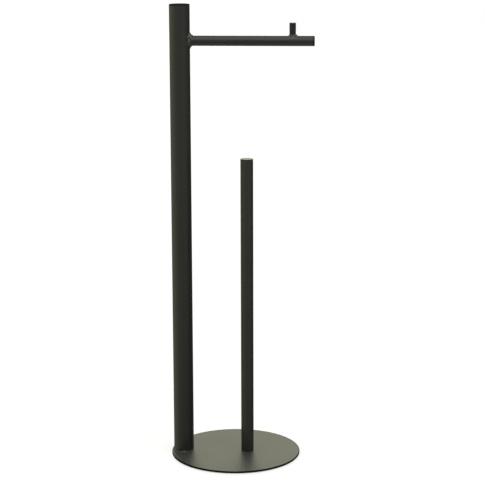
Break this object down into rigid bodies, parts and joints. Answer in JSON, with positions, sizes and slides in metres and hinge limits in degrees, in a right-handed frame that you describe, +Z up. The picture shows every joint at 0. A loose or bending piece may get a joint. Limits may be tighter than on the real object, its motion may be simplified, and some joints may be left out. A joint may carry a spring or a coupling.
{
  "type": "toilet paper holder",
  "caption": "Free-standing toilet paper holder: a tall column on a round plate carries a fixed roll arm with a stop pin, beside a straight post for spare rolls.",
  "frame": {"origin": "centre of the round base plate, on the floor", "axes": "+Z up, +X from the column towards the spare roll post and along the arm, -Y is the front"},
  "size_m": [0.1805, 0.164, 0.574],
  "materials": {
    "plate_coating": "satin",
    "tube_coating": "satin",
    "weld_coating": "satin",
    "cap_plastic": "fine textured",
    "plug_steel": "turned",
    "zinc_screw": "zinc plated",
    "pad_foam": "matt"
  },
  "bodies": {
    "root": {"base_plate": "plate_coating", "column_tube": "tube_coating", "arm_tube": "tube_coating", "post_tube": "tube_coating", "stop_pin": "tube_coating", "column_weld": "weld_coating", "arm_weld": "weld_coating", "pin_weld": "weld_coating", "column_cap": "cap_plastic", "arm_end_cap": "cap_plastic", "post_cap": "cap_plastic", "post_insert": "plug_steel", "post_screw": "zinc_screw", "floor_pad_1": "pad_foam", "floor_pad_2": "pad_foam", "floor_pad_3": "pad_foam", "floor_pad_4": "pad_foam", "floor_pad_5": "pad_foam", "floor_pad_6": "pad_foam"}
  },
  "joints": []
}
